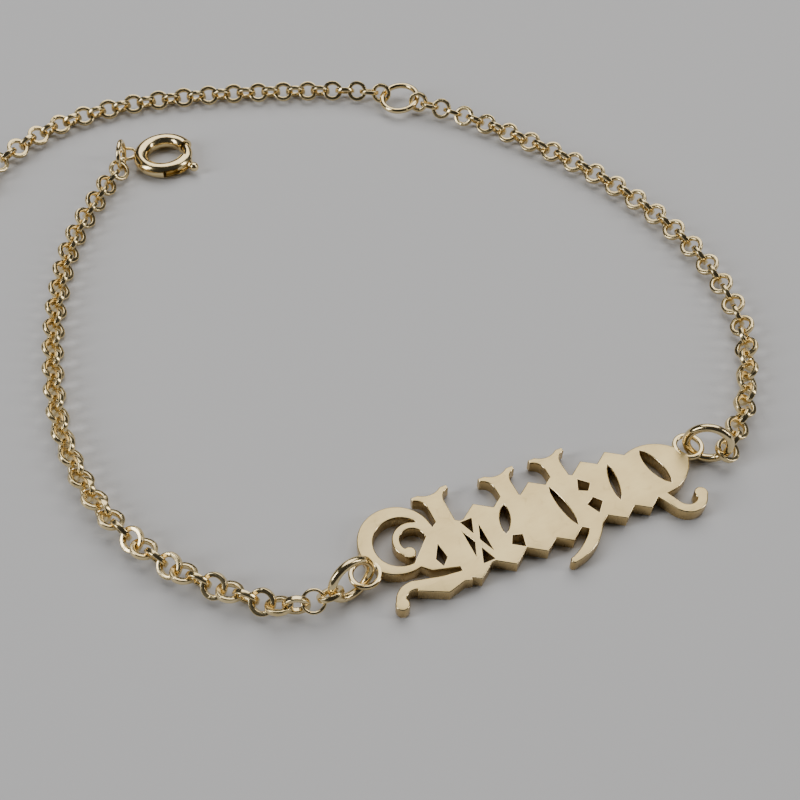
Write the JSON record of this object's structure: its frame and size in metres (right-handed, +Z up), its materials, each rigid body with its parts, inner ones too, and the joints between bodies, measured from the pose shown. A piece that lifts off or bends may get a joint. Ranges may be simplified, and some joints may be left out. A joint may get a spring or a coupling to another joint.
{
  "type": "nameplate bracelet",
  "caption": "Pierced gothic-ornament nameplate on fine rolo chains, lying open in a loop, with a spring ring clasp and an extender chain that ends in a ring.",
  "frame": {"origin": "middle of the nameplate's underside, on the surface that the bracelet lies on", "axes": "+X along the nameplate from the left jump ring to the right one, +Y across the nameplate towards the loop and the clasp, +Z up out of the nameplate's face"},
  "size_m": [0.0642, 0.07, 0.004],
  "materials": {
    "satin_plate_gold": "fine satin face, brighter rims, pale champagne gold",
    "chain_gold": "polished warm yellow gold",
    "polished_gold": "bright polished yellow gold"
  },
  "bodies": {
    "bracelet": {"nameplate": "satin_plate_gold", "left_jump_ring": "polished_gold", "right_jump_ring": "polished_gold", "connector_ring": "polished_gold", "left_chain": "chain_gold", "right_chain": "chain_gold", "sizing_ring": "polished_gold", "extender_chain": "chain_gold", "end_ring": "polished_gold", "clasp_jump_ring": "polished_gold", "spring_ring_body": "polished_gold"},
    "trigger": {"spring_ring_trigger": "polished_gold"}
  },
  "joints": [
    {"name": "trigger_slide_back", "type": "hinge", "parent": "bracelet", "child": "trigger", "pos_m": [-0.01352, 0.05458, 0.00075], "axis": [0, 0, 1], "range_deg": [-48, 0], "stiffness_Nm_per_rad": 0.0045, "springref_deg": 17.19}
  ]
}
